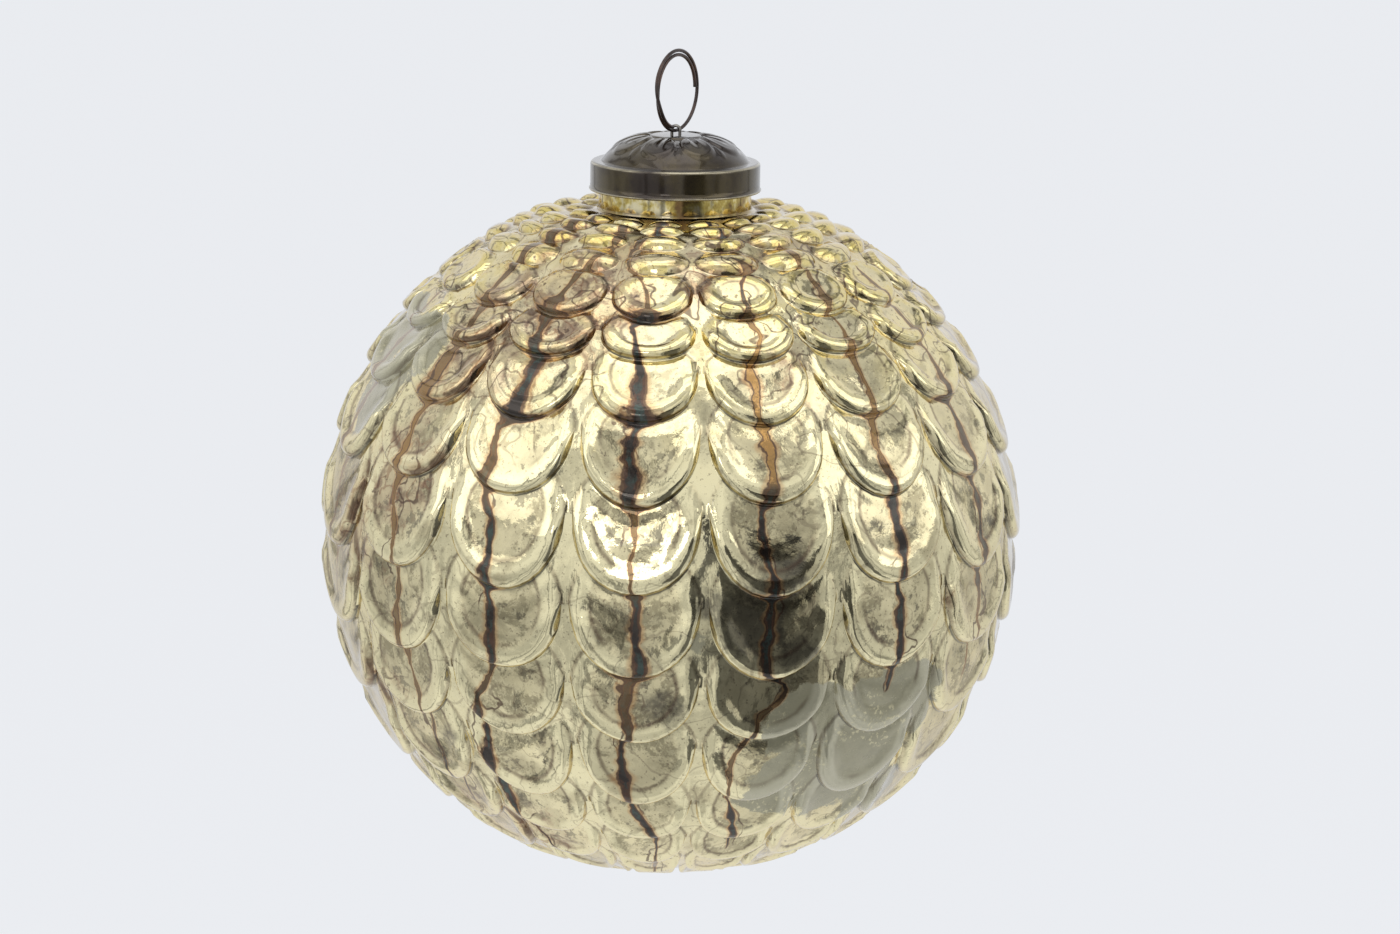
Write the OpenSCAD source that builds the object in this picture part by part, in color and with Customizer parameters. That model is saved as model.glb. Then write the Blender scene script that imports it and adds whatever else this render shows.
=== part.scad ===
// Large glass bauble with overlapping scallops, pressed cap, wire staple and hanging ring.
// Millimetres. The origin is where a cord bears on the inside of the ring's top, and +Z is up.

/* [Ball] */
// Diameter over the scallops' rims
ball_d = 200; // [160:1:230]
// Height of a scallop's rim above the valley between two columns
relief = 2.7; // [1.5:0.1:3.5]
// Columns of scallops round the ball
columns = 16; // [12:1:18]
// Thickness of the blown glass
wall = 1.5; // [1:0.1:2]
// Angle by which the scallops are turned from the ring's plane
scallop_turn = 3; // [0:0.5:22]

/* [Neck] */
// Outer diameter of the glass neck
neck_d = 43.2; // [38:0.1:48]
// Height of the neck, from the crease at its foot to its rim
neck_h = 13.2; // [11:0.1:16]
// Depth of the hollow in the ball round the neck's foot
neck_sink = 3; // [1:0.1:4]
// Radius of the fillet at the neck's foot
neck_fillet = 0.9; // [0.5:0.1:1.2]

/* [Cap] */
// Thickness of the pressed sheet
sheet = 0.5; // [0.3:0.05:0.7]
// Clearance all round between the neck and the inside of the cap
cap_clear = 1.9; // [0.5:0.1:2.5]
// Height of the straight skirt
skirt_h = 8.2; // [6:0.1:9]
// Width of the flat ledge round the dome
ledge_w = 3; // [2.8:0.1:4]
// Height of the domed top above the ledge
dome_h = 7.4; // [5:0.1:9]
// Diameter of the flat centre of the dome
plateau_d = 14.6; // [12:0.1:16]
// Step at the edge of the flat centre
plateau_step = 0.5; // [0.2:0.05:0.8]
// Radius of the skirt's rounded upper edge
edge_round = 1; // [0.7:0.1:1.4]
// How far the rolled lip stands out of the skirt
lip = 0.35; // [0.2:0.05:0.5]
// Petals in the embossed rosette
petals = 8; // [6:1:8]
// Height of the embossing
emboss = 0.8; // [0.3:0.05:1]
// Angle by which the rosette is turned from the ring's plane
rosette_turn = 11; // [0:1:44]
// Gap between the neck's rim and the underside of the ledge
seat_gap = 0.05; // [0.02:0.01:0.3]

/* [Hanging wire] */
// Diameter of the ring's wire
ring_wire = 1; // [0.8:0.05:1.2]
// Outer diameter of the ring
ring_d = 23.6; // [20:0.1:28]
// Gap between the ring's two turns
turn_gap = 0.25; // [0.2:0.05:0.6]
// Diameter of the staple's wire
staple_wire = 0.9; // [0.7:0.05:1]
// Gap between the ring's wire and the inside of the staple's eye
eye_gap = 0.35; // [0.25:0.05:0.6]
// Height of the ring's wire above the cap, middle of the wire
eye_h = 1.25; // [1.1:0.05:2]
// Gap between the staple's legs and what they pass through or press on
leg_gap = 0.2; // [0.1:0.05:0.4]
// How far the staple's legs reach below the neck's foot
leg_reach = 3; // [1:0.5:8]

/* [Hidden] */

// Latitude of each row's foot at the middle of a column, from the neck down, in degrees
feet = [
    71.4, 66.4, 62, 56, 46.4, 38.3, 27.5, 14.5,
    -0.2, -13.7, -25.4, -39.2, -49.8, -59.4, -68.5, -76.5];
rows = len(feet);

// Half the width of a scallop, as a share of a column's width
half_width = 0.475;
// Share of a row by which a scallop's widest place lies below the foot above it: from the middle of
// the ball down, and on the ovals near the neck
shoulder = 0.12;
oval_shoulder = 0.48;
// Row from which the ovals are whole, counted from the neck, and the rows over which they change
oval_row = 4;
oval_change = 4;
// Share of a scallop over which its rim rounds down to the next one
rim_share = 0.2;
// How far the rim's bead reaches into the scallop's dished face
bead_share = 0.2;
// Height of the face just behind the foot, as a share of the rim's
face_height = 0.8;
// Column width below which the scallops get shallower
full_width = 20;

ball_r = ball_d / 2;
valley_r = ball_r - relief;
neck_r = neck_d / 2;
crease_r = neck_r + neck_fillet;
top_r = valley_r - neck_sink;
top_lat = acos(crease_r / top_r);
crease_z = top_r * sin(top_lat);
rim_z = crease_z + neck_h;
rim_round = wall / 4;
sink_lat = 66;

cap_r = neck_r + cap_clear + sheet;
ledge_z = rim_z + seat_gap + sheet;
plateau_z = ledge_z + dome_h;
dome_r = cap_r - ledge_w;
plateau_r = plateau_d / 2;

ring_r = (ring_d - ring_wire) / 2;
turn_pitch = ring_wire + turn_gap;
inner_turn_r = ring_r - turn_pitch;
eye_r = ring_wire / 2 + eye_gap + staple_wire / 2;
hinge_z = plateau_z + eye_h;
ring_z = hinge_z + ring_r;
origin_z = ring_z + inner_turn_r - ring_wire / 2;

// Seam between two steps of a run of wire, and the length and share of the diameter of the core there
seam = 0.01;
core_len = 0.4;
core_share = 0.8;

// A number kept between 0 and 1, and the same eased at both ends
function unit(x) = min(1, max(0, x));
function ease(x) = let (t = unit(x)) t * t * (3 - 2 * t);
// A point on a ring of radius r at angle a and height z
function on_ring(r, a, z) = [r * cos(a), r * sin(a), z];

// Scallops
// Row coordinate to latitude: 0 at the neck's foot, 1 at the first row's foot, rows + 1 at the bottom
function line_lat(k) = k <= 0 ? top_lat : k <= rows ? feet[k - 1] : -90;
function lat_at(v) =
    let (k = min(rows, floor(v)))
    line_lat(k) + (line_lat(k + 1) - line_lat(k)) * (v - k);
// 1 where the scallops are ovals and 0 where they are wide
function oval_at(q) = ease((oval_row + oval_change - q) / oval_change);
function shoulder_at(q) = shoulder + (oval_shoulder - shoulder) * oval_at(q);
// Half an ellipse: the lower edge of a scallop at u, the place across its column
function edge_at(q, u) =
    let (s = shoulder_at(q))
    s + (1 - s) * sqrt(max(0, 1 - pow(u / half_width, 2)));
// Lines of the grid follow the scallops' lower edges, and flatten out at the neck and at the bottom
function blend_at(q) = unit(q) * unit(rows + 1 - q);
function row_at(q, u) = q + (edge_at(q, u) - 1) * blend_at(q);
// Place inside one scallop, for w the way down it: 0 at its middle and 1 on its outline, which curls
// in again at the top
function inside_at(row, w, u) =
    let (
        c = shoulder_at(row + 1),
        y = w + edge_at(row + w, u) - 1,
        top = 0.7 + (c - 0.74) * oval_at(row + 1))
    norm([u / half_width, y > c ? (y - c) / (1 - c) : (y - c) / top]);
function rim_at(g, share) = 1 - pow(1 - unit((1 - g) / share), 2.2);
function bead_at(g, share) = exp(-pow(max(0, 1 - share - g) / bead_share, 2));
// Height of the relief from 0 to 1. A wide scallop's face rises towards its foot, and an oval's is level
function relief_at(row, w, u) =
    let (
        g = inside_at(row, w, u),
        oval = oval_at(row + 1),
        share = rim_share * (1 + oval),
        face = face_height * pow(w, 0.75 * (1 - oval)))
    rim_at(g, share) * ease(w / 0.22) * (face + (1 - face) * bead_at(g, share));
function column_width(lat) = valley_r * cos(lat) * 2 * PI / columns;
function base_r(lat) = valley_r - neck_sink * ease((lat - sink_lat) / (top_lat - sink_lat));
function shell_r(q, u) =
    let (
        lat = lat_at(row_at(q, u)),
        row = floor(q),
        height = relief * min(1, column_width(lat) / full_width))
    base_r(lat) + (row < rows ? height * relief_at(row, q - row, u) : 0);
function shell_point(q, u, c, inset) =
    let (lat = lat_at(row_at(q, u)), r = shell_r(q, u) - inset)
    on_ring(r * cos(lat), scallop_turn + 360 / columns * (c + u), r * sin(lat));

// Places across a column and down a row at which the outside and the inside are worked out
outer_across = [-0.5, -0.42, -0.24, 0, 0.24, 0.42];
inner_across = [-0.5, -0.17, 0.17];
function outer_down(i) = i < 4 ? [0, 0.56] : i > rows - 5 ? [0, 0.76] : [0, 0.42, 0.8];
function inner_down(i) = i < 4 ? [0.56] : i > rows - 6 ? [0.72] : [0.02, 0.72];
outer_lines = [for (i = [0:rows - 1]) for (w = outer_down(i)) i + w, rows, rows + 0.5];
inner_lines = [for (i = [0:rows - 1]) for (w = inner_down(i)) i + w, rows + 0.3];

module glass_bauble() {
    across_n = len(outer_across);
    inner_n = len(inner_across);
    n = columns * across_n;
    m = columns * inner_n;
    function turn_of(c, u) = scallop_turn + 360 / columns * (c + u);
    // Plain rings of the neck, from its rim down to its foot: radius and height
    neck_out = [
        [neck_r - rim_round, rim_z],
        [neck_r, rim_z - rim_round],
        [neck_r, crease_z + neck_fillet],
        [neck_r + neck_fillet * 0.3, crease_z + neck_fillet * 0.3]];
    neck_in = [
        [neck_r - wall + rim_round, rim_z],
        [neck_r - wall, rim_z - rim_round],
        [neck_r - wall, crease_z]];
    outside = concat(
        [for (p = neck_out) for (c = [0:columns - 1]) for (u = outer_across)
            on_ring(p[0], turn_of(c, u), p[1])],
        [for (q = outer_lines) for (c = [0:columns - 1]) for (u = outer_across)
            shell_point(q, u, c, 0)],
        [[0, 0, -valley_r]]);
    inside = concat(
        [for (p = neck_in) for (c = [0:columns - 1]) for (u = inner_across)
            on_ring(p[0], turn_of(c, u), p[1])],
        [for (q = inner_lines) for (c = [0:columns - 1]) for (u = inner_across)
            shell_point(q, u, c, wall)],
        [[0, 0, wall - valley_r]]);
    out_rings = len(neck_out) + len(outer_lines);
    in_rings = len(neck_in) + len(inner_lines);
    first_in = len(outside);
    function out_id(ring, k) = ring * n + k % n;
    function in_id(ring, k) = first_in + ring * m + k % m;
    out_faces = [for (r = [0:out_rings - 2]) for (k = [0:n - 1]) each
        [[out_id(r, k), out_id(r, k + 1), out_id(r + 1, k + 1)],
         [out_id(r, k), out_id(r + 1, k + 1), out_id(r + 1, k)]]];
    in_faces = [for (r = [0:in_rings - 2]) for (k = [0:m - 1]) each
        [[in_id(r, k), in_id(r + 1, k + 1), in_id(r, k + 1)],
         [in_id(r, k), in_id(r + 1, k), in_id(r + 1, k + 1)]]];
    out_pole = [for (k = [0:n - 1])
        [out_id(out_rings - 1, k), out_id(out_rings - 1, k + 1), out_rings * n]];
    in_pole = [for (k = [0:m - 1])
        [in_id(in_rings - 1, k + 1), in_id(in_rings - 1, k), first_in + in_rings * m]];
    // The rim's flat ring: two outer edges to each inner one
    rim_faces = [for (c = [0:columns - 1])
        let (a = c * across_n, b = c * inner_n)
        each [
            [a, in_id(0, b), a + 1], [a + 1, in_id(0, b), a + 2],
            [a + 2, in_id(0, b), in_id(0, b + 1)], [a + 2, in_id(0, b + 1), a + 3],
            [a + 3, in_id(0, b + 1), in_id(0, b + 2)], [a + 3, in_id(0, b + 2), a + 4],
            [a + 4, in_id(0, b + 2), a + 5], [a + 5, in_id(0, b + 2), in_id(0, b + 3)],
            [a + 5, in_id(0, b + 3), (a + 6) % n]]];
    color("darkkhaki")
        translate([0, 0, -origin_z])
            polyhedron(concat(outside, inside), concat(out_faces, in_faces, out_pole, in_pole, rim_faces), 4);
}

// Cap
// The rosette: almond petals with a groove down the middle, and a narrow dart between each two
function rosette_at(r, a) =
    let (
        t = (r - plateau_r) / (dome_r - plateau_r),
        p = 2 * abs(a * petals / 360 - round(a * petals / 360)),
        g = norm([(t - 0.44) / 0.42, p / 0.84]),
        d = norm([(t - 0.6) / 0.3, (1 - p) / 0.16]),
        groove = ease(1 - p / 0.16) * ease((0.8 - t) / 0.2))
    sqrt(max(0, 1 - g * g)) * (1 - 0.6 * groove) + 0.5 * sqrt(max(0, 1 - d * d));
// Share of the dome's height lost at t, from the plateau's step like a quarter of an ellipse
function dome_fall(t) = (1 - sqrt(1 - pow(t * 0.93, 2))) / (1 - sqrt(1 - pow(0.93, 2)));
function dome_z(t) = plateau_z - plateau_step - (dome_h - plateau_step) * dome_fall(t);
// Places across a petal and down the dome at which the cap is worked out
petal_across = [-0.5, -0.42, -0.3, -0.08, 0, 0.08, 0.3, 0.42];
dome_down = [0, 0.1, 0.26, 0.45, 0.62, 0.76, 0.86, 1];

module cap() {
    across_n = len(petal_across);
    n = petals * across_n;
    steps = len(dome_down) - 1;
    dome = [for (t = dome_down) [plateau_r + t * (dome_r - plateau_r), dome_z(t)]];
    // Upper side from the centre out and down to the lip, then the lower side back to the centre
    upper = concat(
        [[plateau_r - plateau_step, plateau_z]],
        dome,
        [
            [cap_r - edge_round, ledge_z],
            [cap_r - edge_round * 0.3, ledge_z - edge_round * 0.3],
            [cap_r, ledge_z - edge_round],
            [cap_r, ledge_z - skirt_h + 2 * lip],
            [cap_r + lip, ledge_z - skirt_h + lip],
            [cap_r, ledge_z - skirt_h]]);
    lower = concat(
        [
            [cap_r - sheet, ledge_z - skirt_h],
            [cap_r - sheet, ledge_z - edge_round],
            [cap_r - edge_round, ledge_z - sheet]],
        [for (k = [steps:-1:0]) [dome[k][0] - sheet * dome_down[k], dome[k][1] - sheet]],
        [[plateau_r - plateau_step, plateau_z - sheet]]);
    rings = concat(upper, lower);
    points = concat(
        [for (p = rings) for (k = [0:n - 1])
            let (a = 360 / petals * (floor(k / across_n) + petal_across[k % across_n]))
            on_ring(p[0], a + rosette_turn, p[1] + emboss * rosette_at(p[0], a))],
        [[0, 0, plateau_z], [0, 0, plateau_z - sheet]]);
    last = len(rings) - 1;
    function id(ring, k) = ring * n + k % n;
    side = [for (r = [0:last - 1]) for (k = [0:n - 1]) each
        [[id(r, k), id(r, k + 1), id(r + 1, k + 1)], [id(r, k), id(r + 1, k + 1), id(r + 1, k)]]];
    top = [for (k = [0:n - 1]) [len(points) - 2, id(0, k + 1), id(0, k)]];
    bottom = [for (k = [0:n - 1]) [len(points) - 1, id(last, k), id(last, k + 1)]];
    color("dimgray")
        translate([0, 0, -origin_z])
            difference() {
                polyhedron(points, concat(side, top, bottom), 4);
                for (s = [-1, 1])
                    translate([0, s * eye_r, plateau_z - 2 * sheet])
                        cylinder(h = 3 * sheet, r = staple_wire / 2 + leg_gap, $fn = 32);
            }
}

// Wire
// One bend starts at the origin heading up and turns towards +X
module bend(r, angle, d) {
    translate([r, 0, 0])
        rotate(a = 180, v = [0, 1, 1])
            rotate_extrude(angle = angle, $fn = 96)
                translate([r, 0])
                    circle(d = d, $fn = 24);
}
// A run of wire, each step a bend [radius, angle, roll about the wire] or a straight [0, length, roll].
// Where one step meets the next there is a hairline seam, and the wire's core runs on through it
module wire_run(steps, d, k = 0) {
    if (k < len(steps)) {
        r = steps[k][0];
        a = steps[k][1];
        if (k > 0)
            translate([0, 0, -core_len / 2])
                cylinder(h = core_len, d = d * core_share, $fn = 24);
        rotate([0, 0, steps[k][2]])
            if (r > 0) {
                bend(r, a, d);
                translate([r - r * cos(a), 0, r * sin(a)])
                    rotate([0, a, 0])
                        translate([0, 0, seam])
                            wire_run(steps, d, k + 1);
            } else {
                cylinder(h = a, d = d, $fn = 24);
                translate([0, 0, a + seam])
                    wire_run(steps, d, k + 1);
            }
    }
}

module wire_staple() {
    leg_r = neck_r - wall - leg_gap - staple_wire / 2;
    splay = 60;
    elbow = 2;
    knee = 4;
    drop = eye_h + sheet + 1;
    // Sideways way of the two bends, and what is left between them
    slant = (leg_r - eye_r - (elbow + knee) * (1 - cos(splay))) / sin(splay);
    bends_h = (elbow + knee) * sin(splay) + slant * cos(splay);
    shin = max(1, hinge_z - drop - bends_h - (crease_z - leg_reach));
    leg = [
        [eye_r, 90, 0],
        [0, drop, 0],
        [elbow, splay, 180],
        [0, slant, 0],
        [knee, splay, 180],
        [0, shin, 0],
        [1.5, 150, 0]];
    color("silver")
        translate([0, 0, hinge_z + eye_r - origin_z])
            for (s = [0, 1])
                mirror([0, s, 0])
                    rotate([-90, 90, 0])
                        wire_run(leg, staple_wire);
}

module hang_ring() {
    // One run of wire. The inner turn goes from its cut end over the top, a short straight carries it
    // down to meet the outer turn at the bottom, and the outer turn goes under through the eye and
    // round again. There its free end leaves the ring's plane, comes parallel to it again one pitch
    // aside, and passes beside the inner turn to end inside the ring.
    leave = 40;
    settle = 28;
    settle_r = 0.8 * ring_r;
    hook_r = 0.4 * ring_r;
    // Roll of the bend out of the plane that carries the wire one pitch aside
    aside = asin(turn_pitch / (ring_r * (1 - cos(leave)) + settle_r * (1 - cos(settle))));
    turns = [
        [inner_turn_r, 180, 0],
        [0, turn_pitch, 0],
        [inner_turn_r, 90, 0],
        [ring_r, 240, 0],
        [ring_r, leave, aside],
        [settle_r, settle, -2 * aside],
        [settle_r, 40, aside],
        [hook_r, 20, 0]];
    color("saddlebrown")
        translate([inner_turn_r, 0, ring_z - origin_z])
            rotate([0, 0, 180])
                wire_run(turns, ring_wire);
}

glass_bauble();
cap();
wire_staple();
hang_ring();
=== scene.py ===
import math
from functools import partial, reduce

import bpy
import numpy as np
from mathutils import Matrix, Vector


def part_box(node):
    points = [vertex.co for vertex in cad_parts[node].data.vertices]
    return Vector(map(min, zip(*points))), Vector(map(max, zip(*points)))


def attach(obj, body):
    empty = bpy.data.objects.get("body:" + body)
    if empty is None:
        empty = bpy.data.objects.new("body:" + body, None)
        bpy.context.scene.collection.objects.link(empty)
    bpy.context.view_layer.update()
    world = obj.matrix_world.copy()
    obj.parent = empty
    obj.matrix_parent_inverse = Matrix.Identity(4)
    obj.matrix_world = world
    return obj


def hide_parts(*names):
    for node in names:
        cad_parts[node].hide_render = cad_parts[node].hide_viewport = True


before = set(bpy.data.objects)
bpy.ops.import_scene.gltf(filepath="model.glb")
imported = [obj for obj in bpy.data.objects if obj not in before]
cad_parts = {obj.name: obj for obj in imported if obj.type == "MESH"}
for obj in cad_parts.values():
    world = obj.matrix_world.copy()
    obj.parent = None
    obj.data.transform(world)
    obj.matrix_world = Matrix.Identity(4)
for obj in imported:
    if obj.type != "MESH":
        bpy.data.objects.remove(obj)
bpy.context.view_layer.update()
print("frame loaded")


# Small helpers for shapes

def unit(x):
    # x held between 0 and 1
    return np.clip(x, 0, 1)


def ease(x):
    # 0 below 0, 1 above 1, and between them three times the square less twice the cube
    t = unit(x)
    return t * t * (3 - 2 * t)


def direction(azimuth, latitude):
    # unit vector from degrees: azimuth turns from X towards Y, and latitude rises from their plane
    a, b = np.radians(azimuth), np.radians(latitude)
    return np.stack([np.cos(b) * np.cos(a), np.cos(b) * np.sin(a), np.sin(b)], -1)


def ringGrid(rings, around, first=0):
    # quads between rings that close on themselves; ring r starts at vertex first + r * around
    r, k = np.meshgrid(np.arange(rings - 1), np.arange(around), indexing="ij")
    a = first + r * around + k
    b = first + r * around + (k + 1) % around
    return np.stack([a, a + around, b + around, b], -1).reshape(-1, 4)


def fan(ring, pole, around, outward):
    # triangles from each edge of the ring that starts at vertex ring to the one vertex pole
    k = np.arange(around)
    a, b = ring + k, ring + (k + 1) % around
    return np.stack([a, np.full(around, pole), b] if outward else [b, np.full(around, pole), a], -1)


def makePiece(name, points, faceSets, body, node, slot, material, place=None, marks=None):
    # faceSets are arrays of quads or triangles; place gives the UV of each corner, set by set
    mesh = bpy.data.meshes.new(name)
    corners = np.concatenate([f.ravel() for f in faceSets]).astype(np.int32)
    sizes = np.concatenate([np.full(len(f), f.shape[1]) for f in faceSets])
    starts = np.concatenate([[0], np.cumsum(sizes)[:-1]]).astype(np.int32)
    mesh.vertices.add(len(points))
    mesh.vertices.foreach_set("co", points.astype(np.float32).ravel())
    mesh.loops.add(len(corners))
    mesh.loops.foreach_set("vertex_index", corners)
    mesh.polygons.add(len(sizes))
    mesh.polygons.foreach_set("loop_start", starts)
    mesh.polygons.foreach_set("use_smooth", np.ones(len(sizes), bool))
    mesh.update(calc_edges=True)
    if place is not None:
        places = np.concatenate([p.reshape(-1, 2) for p in place]).astype(np.float32)
        mesh.uv_layers.new(name="place").data.foreach_set("uv", places.ravel())
    for key, value in (marks or {}).items():
        mesh.attributes.new(key, "FLOAT", "POINT").data.foreach_set("value", value.astype(np.float32).ravel())
    mesh.validate()
    piece = bpy.data.objects.new(name, mesh)
    bpy.context.scene.collection.objects.link(piece)
    mesh.materials.append(material)
    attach(piece, body)
    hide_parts(node)
    print(name, len(mesh.vertices), "points,", int((sizes - 2).sum()), "triangles")
    return piece


# Small helpers for materials. Each node is made in the tree of the sockets that feed it

def feed(made, inputs):
    # links every input that is given a socket, and sets every input that is given a value
    for key, value in inputs.items():
        if isinstance(value, bpy.types.NodeSocket):
            made.id_data.links.new(value, made.inputs[key])
        else:
            made.inputs[key].default_value = value
    return made


def put(tree, kind, inputs=None, **settings):
    made = tree.nodes.new(kind)
    for key, value in settings.items():
        setattr(made, key, value)
    return feed(made, inputs or {})


def send(value, output):
    output.id_data.links.new(value, output)


def calc(operation, a, b=0.0, clamp=False):
    tree = (a if isinstance(a, bpy.types.NodeSocket) else b).id_data
    return put(tree, "ShaderNodeMath", {0: a, 1: b}, operation=operation, use_clamp=clamp).outputs[0]


def times(*values):
    return reduce(partial(calc, "MULTIPLY"), values)


def plus(*values):
    return reduce(partial(calc, "ADD"), values)


def most(*values):
    return reduce(partial(calc, "MAXIMUM"), values)


def minus(a, b):
    return calc("SUBTRACT", a, b)


def fade(value, low, high):
    # 0 at low and 1 at high, eased at both ends; low may be the larger
    span = {0: value, 1: min(low, high), 2: max(low, high)}
    rising = put(value.id_data, "ShaderNodeMapRange", span, interpolation_type="SMOOTHSTEP").outputs[0]
    return rising if low < high else minus(1.0, rising)


def noise(vector, scale, detail=2.0, roughness=0.5, distortion=0.0):
    return put(vector.id_data, "ShaderNodeTexNoise", {
        "Vector": vector, "Scale": scale, "Detail": detail, "Roughness": roughness,
        "Distortion": distortion}).outputs[0]


def patches(vector, scale, low, high, *character):
    # noise cut into patches; character is its detail, roughness and distortion
    return fade(noise(vector, scale, *character), low, high)


def blend(share, a, b):
    # the Mix node's sockets 6 and 7 and its output 2 are those for colours
    return put(share.id_data, "ShaderNodeMix", {0: share, 6: a, 7: b}, data_type="RGBA").outputs[2]


def layered(colour, finish, layers):
    # each layer is a mask, its strength, and the name of the colour that it lays over those before it
    for mask, strength, tint in layers:
        colour = blend(times(mask, strength), colour, finish[tint])
    return colour


def tone(red, green, blue):
    # a colour as it is seen, 0 to 255, turned into light
    seen = np.array([red, green, blue]) / 255
    return (*np.where(seen < 0.04045, seen / 12.92, ((seen + 0.055) / 1.055) ** 2.4), 1.0)


def newMaterial(name):
    made = bpy.data.materials.new(name)
    made.use_nodes = True
    made.node_tree.nodes.clear()
    return made, made.node_tree


def dress(tree, values, strength, distance, height):
    # the shader with its own values, over a bump of the height given
    bump = put(tree, "ShaderNodeBump", {"Strength": strength, "Distance": distance, "Height": height})
    shader = put(tree, "ShaderNodeBsdfPrincipled", {**values, "Normal": bump.outputs[0]})
    put(tree, "ShaderNodeOutputMaterial", {"Surface": shader.outputs[0]})


def newGroup(name, inputs, outputs):
    # an input's first value tells its kind: None for a vector, else a number. Outputs are numbers
    made = bpy.data.node_groups.new(name, "ShaderNodeTree")
    for label, start in inputs.items():
        kind = "NodeSocketVector" if start is None else "NodeSocketFloat"
        socket = made.interface.new_socket(name=label, in_out="INPUT", socket_type=kind)
        if start is not None:
            socket.default_value = start
    for label in outputs:
        made.interface.new_socket(name=label, in_out="OUTPUT", socket_type="NodeSocketFloat")
    return made, made.nodes.new("NodeGroupInput").outputs, made.nodes.new("NodeGroupOutput").inputs


def useGroup(tree, group, inputs):
    return put(tree, "ShaderNodeGroup", inputs, node_tree=group).outputs


def makeAgeing():
    # Ageing that the glass and the metal share: cloudy mottling, fine specks, and thin contour lines
    # such as a drying puddle leaves, which follow one level of a slow noise
    group, given, made = newGroup("ageing", {
        "Vector": None, "Cloud Scale": 60.0, "Speck Scale": 900.0, "Line Scale": 45.0, "Line Width": 0.012},
        ["Cloud", "Speck", "Line"])
    vector = given["Vector"]
    send(noise(vector, given["Cloud Scale"], 5.0, 0.62), made["Cloud"])
    send(patches(vector, given["Speck Scale"], 0.62, 0.7, 2.0, 0.6), made["Speck"])
    fromLevel = calc("ABSOLUTE", minus(noise(vector, given["Line Scale"], 2.5, 0.45, 0.25), 0.5))
    send(fade(calc("DIVIDE", fromLevel, given["Line Width"]), 1.0, 0.3), made["Line"])
    return group


ageing = makeAgeing()


def ageAt(spot, cloudScale, speckScale, lineScale, lineWidth):
    return useGroup(spot.id_data, ageing, {
        "Vector": spot, "Cloud Scale": cloudScale, "Speck Scale": speckScale, "Line Scale": lineScale,
        "Line Width": lineWidth})


print("shared ageing group made")


# Glass ball

bauble = {
    "columns": 16,
    "feet": [71.4, 66.4, 62, 56, 46.4, 38.3, 27.5, 14.5,
             -0.2, -13.7, -25.4, -39.2, -49.8, -59.4, -68.5, -76.5],  # latitude of each row's foot
    "ballRadius": 0.1,
    "relief": 0.0027,
    "wall": 0.0015,
    "scallopTurn": 3.0,  # azimuth of the first column's middle
    "halfWidth": 0.475,  # of a thin scallop, in columns
    "shoulder": 0.12,  # how far down its row a thin scallop is widest
    "fullWidth": 0.020,  # columns narrower than this carry less relief
    "neckRadius": 0.0216, "neckHeight": 0.0132, "neckSink": 0.003, "neckFillet": 0.0009,
    "sinkLat": 66.0,
    "rollHigh": 0.26, "rollLow": 0.17,  # half the roll's width, in the upper and the lower rows
    "faceHigh": 0.32, "faceLow": 0.66,  # the face's height as a share of the relief
    "footShift": 0.3,  # degrees by which feet stray
    "dent": 0.00013,
    "waves": 40, "streakPoints": 10, "chance": 11,
}
ballBottom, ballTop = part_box("glass_bauble")
rows = len(bauble["feet"])
outermost = min(ballTop.x, ballTop.y)
valleyRadius = bauble["ballRadius"] - bauble["relief"]
centreHeight = ballBottom.z + valleyRadius
creaseRadius = bauble["neckRadius"] + bauble["neckFillet"]
topRadius = valleyRadius - bauble["neckSink"]
topLat = math.degrees(math.acos(creaseRadius / topRadius))
creaseHeight = topRadius * math.sin(math.radians(topLat))
rimHeight = creaseHeight + bauble["neckHeight"]
creaseLevel = centreHeight + creaseHeight


def fatAt(q):
    # 1 on the fat oval scallops near the neck and 0 on the wide thin-rimmed ones, eased from row 4 to row 8
    return ease((8 - q) / 4)


def halfWidthAt(q):
    # half a scallop's width in columns, a little less where it is fat
    return bauble["halfWidth"] - 0.012 * fatAt(q + 1.5)


def shoulderAt(q):
    # how far down its row a scallop is widest, further down where it is fat
    return bauble["shoulder"] + 0.36 * fatAt(q)


def edgeAt(q, u):
    # lower edge of a scallop: half an ellipse across its column, below its widest place
    shoulder = shoulderAt(q)
    return shoulder + (1 - shoulder) * np.sqrt(np.maximum(0, 1 - (u / halfWidthAt(q)) ** 2))


def latitudeAt(v):
    # latitude at v rows below the neck's crease, straight from one row's foot to the next
    return np.interp(v, np.arange(rows + 2), [topLat, *bauble["feet"], -90])


def outlineAt(q, u):
    # place in a scallop: s is 1 at its foot, 0 at its widest place and -1 at its top, and g is 0 in the
    # middle and 1 on its outline
    row = np.floor(q)
    centre = shoulderAt(row + 1)
    y = q - row + edgeAt(q, u) - 1
    above = 0.7 + (centre - 0.04 - 0.7) * fatAt(row + 1)
    s = np.where(y > centre, (y - centre) / (1 - centre), (y - centre) / above)
    return s, np.hypot(u / halfWidthAt(row + 1), s)


def rollHalfAt(q, s):
    # half the width of the roll along the outline, fattest at the foot of the croissants
    fat = fatAt(np.floor(q) + 1)
    return bauble["rollLow"] + (bauble["rollHigh"] - bauble["rollLow"]) * fat * (1 + 0.3 * np.clip(s, -1, 1))


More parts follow.
